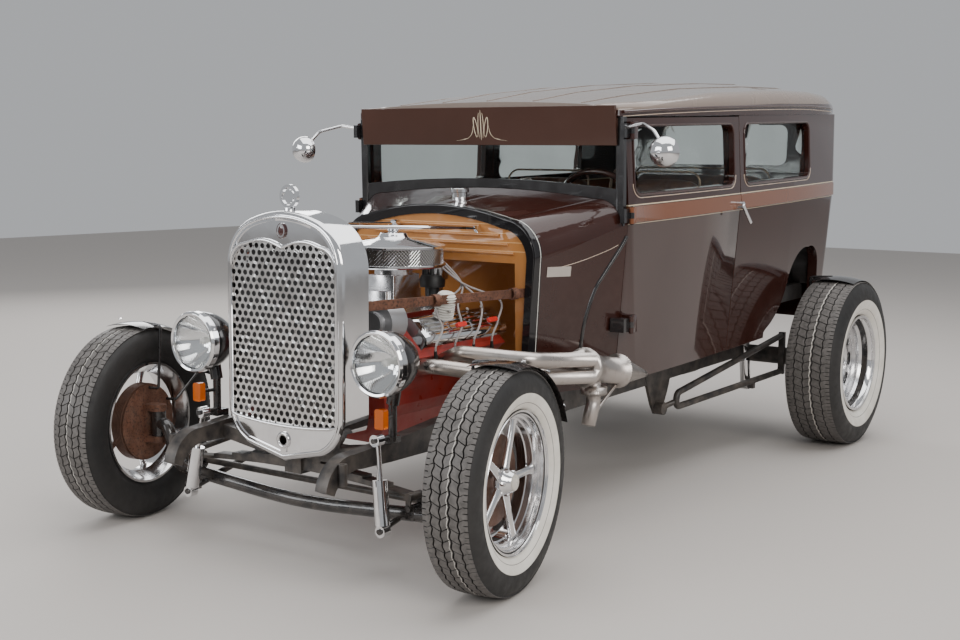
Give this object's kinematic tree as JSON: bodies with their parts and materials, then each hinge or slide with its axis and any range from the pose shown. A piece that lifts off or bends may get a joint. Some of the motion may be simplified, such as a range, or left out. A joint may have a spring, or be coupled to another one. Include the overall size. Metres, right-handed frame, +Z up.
{
  "type": "chopped saloon hot rod with open engine",
  "caption": "Channelled two-door saloon hot rod with open engine, separate grille shell, bare dropped front axle and small fenders.",
  "frame": {"origin": "on the ground under the middle of the car's outer box, on its centre plane", "axes": "+X to the driver's left, +Y to the rear, +Z up"},
  "size_m": [1.7556, 3.4228, 1.5791],
  "materials": {
    "body_paint": "gloss",
    "roof_paint": "satin",
    "firewall_paint": "satin",
    "black_enamel": "gloss",
    "chrome": "polished",
    "engine_red": "gloss",
    "cast_aluminium": "cast",
    "header_steel": "polished",
    "radiator_black": "matte",
    "rust_metal": "worn",
    "amber_lens": "clear tinted",
    "red_lens": "clear tinted",
    "clear_glass": "clear",
    "seat_leather": "satin",
    "dash_paint": "gloss",
    "wheel_alloy": "polished",
    "wheel_steel": "satin",
    "tyre": "matte"
  },
  "bodies": {
    "chassis": {"air_cleaner": "chrome", "bumper_bushes": "black_enamel", "cabin_glass": "clear_glass", "cowl": "body_paint", "dashboard": "dash_paint", "driveline": "cast_aluminium", "engine_block": "engine_red", "engine_drive": "cast_aluminium", "firewall": "firewall_paint", "floor": "black_enamel", "frame": "black_enamel", "front_axle": "black_enamel", "front_spring": "black_enamel", "grille": "chrome", "grille_shell": "chrome", "headers": "header_steel", "headlamp_lenses": "clear_glass", "headlamp_rims": "chrome", "headlamp_shells": "black_enamel", "hinges": "black_enamel", "intake": "cast_aluminium", "lamp_stands": "black_enamel", "marker_lamps": "amber_lens", "mirrors": "chrome", "quarters": "body_paint", "radiator": "radiator_black", "radius_rods": "black_enamel", "rear_axle": "black_enamel", "rear_fenders": "body_paint", "roof": "roof_paint", "seats": "seat_leather", "shocks": "chrome", "stay_bars": "rust_metal", "stay_rods": "chrome", "tail_lamps": "red_lens", "valve_covers": "chrome", "visor": "roof_paint", "windshield_frame": "black_enamel"},
    "knuckle_left": {"knuckle_left": "black_enamel", "front_fender_left": "black_enamel"},
    "knuckle_right": {"knuckle_right": "black_enamel", "front_fender_right": "black_enamel"},
    "front_wheel_left": {"tyre_front_left": "tyre", "wheel_front_left": "wheel_alloy"},
    "front_wheel_right": {"tyre_front_right": "tyre", "wheel_front_right": "wheel_alloy"},
    "rear_wheel_left": {"tyre_rear_left": "tyre", "wheel_rear_left": "wheel_steel"},
    "rear_wheel_right": {"tyre_rear_right": "tyre", "wheel_rear_right": "wheel_steel"},
    "tie_rod": {"tie_rod": "black_enamel"},
    "door_left": {"door_left": "body_paint", "door_glass_left": "clear_glass", "door_handle_left": "chrome"},
    "door_right": {"door_right": "body_paint", "door_glass_right": "clear_glass", "door_handle_right": "chrome"}
  },
  "joints": [
    {"name": "steer_left", "type": "hinge", "parent": "chassis", "child": "knuckle_left", "pos_m": [0.645, -1.36, 0.325], "axis": [0, 0, 1], "range_deg": [-36.3, 19.7]},
    {"name": "steer_right", "type": "hinge", "parent": "chassis", "child": "knuckle_right", "pos_m": [-0.645, -1.36, 0.325], "axis": [0, 0, 1], "range_deg": [-36.3, 19.7]},
    {"name": "tie_rod_pivot", "type": "hinge", "parent": "knuckle_left", "child": "tie_rod", "pos_m": [0.62551, -1.22641, 0.185], "axis": [0, 0, 1], "range_deg": [-19.7, 36.3]},
    {"name": "front_wheel_left_spin", "type": "hinge", "parent": "knuckle_left", "child": "front_wheel_left", "pos_m": [0.74395, -1.34556, 0.325], "axis": [0.9895, 0.1444, 0], "continuous": true},
    {"name": "front_wheel_right_spin", "type": "hinge", "parent": "knuckle_right", "child": "front_wheel_right", "pos_m": [-0.74395, -1.37444, 0.325], "axis": [0.9895, 0.1444, 0], "continuous": true},
    {"name": "rear_wheel_left_spin", "type": "hinge", "parent": "chassis", "child": "rear_wheel_left", "pos_m": [0.76, 1.283, 0.357], "axis": [1, 0, 0], "continuous": true},
    {"name": "rear_wheel_right_spin", "type": "hinge", "parent": "chassis", "child": "rear_wheel_right", "pos_m": [-0.76, 1.283, 0.357], "axis": [1, 0, 0], "continuous": true},
    {"name": "door_left_hinge", "type": "hinge", "parent": "chassis", "child": "door_left", "pos_m": [0.604, -0.33093, 0.9002], "axis": [0, 0.0332, -0.9995], "range_deg": [0, 62]},
    {"name": "door_right_hinge", "type": "hinge", "parent": "chassis", "child": "door_right", "pos_m": [-0.604, -0.33093, 0.9002], "axis": [0, -0.0332, 0.9995], "range_deg": [0, 62]}
  ],
  "couplings": [
    {"joint": "steer_right", "follows": "steer_left", "ratio": 1},
    {"joint": "tie_rod_pivot", "follows": "steer_left", "ratio": -1}
  ]
}
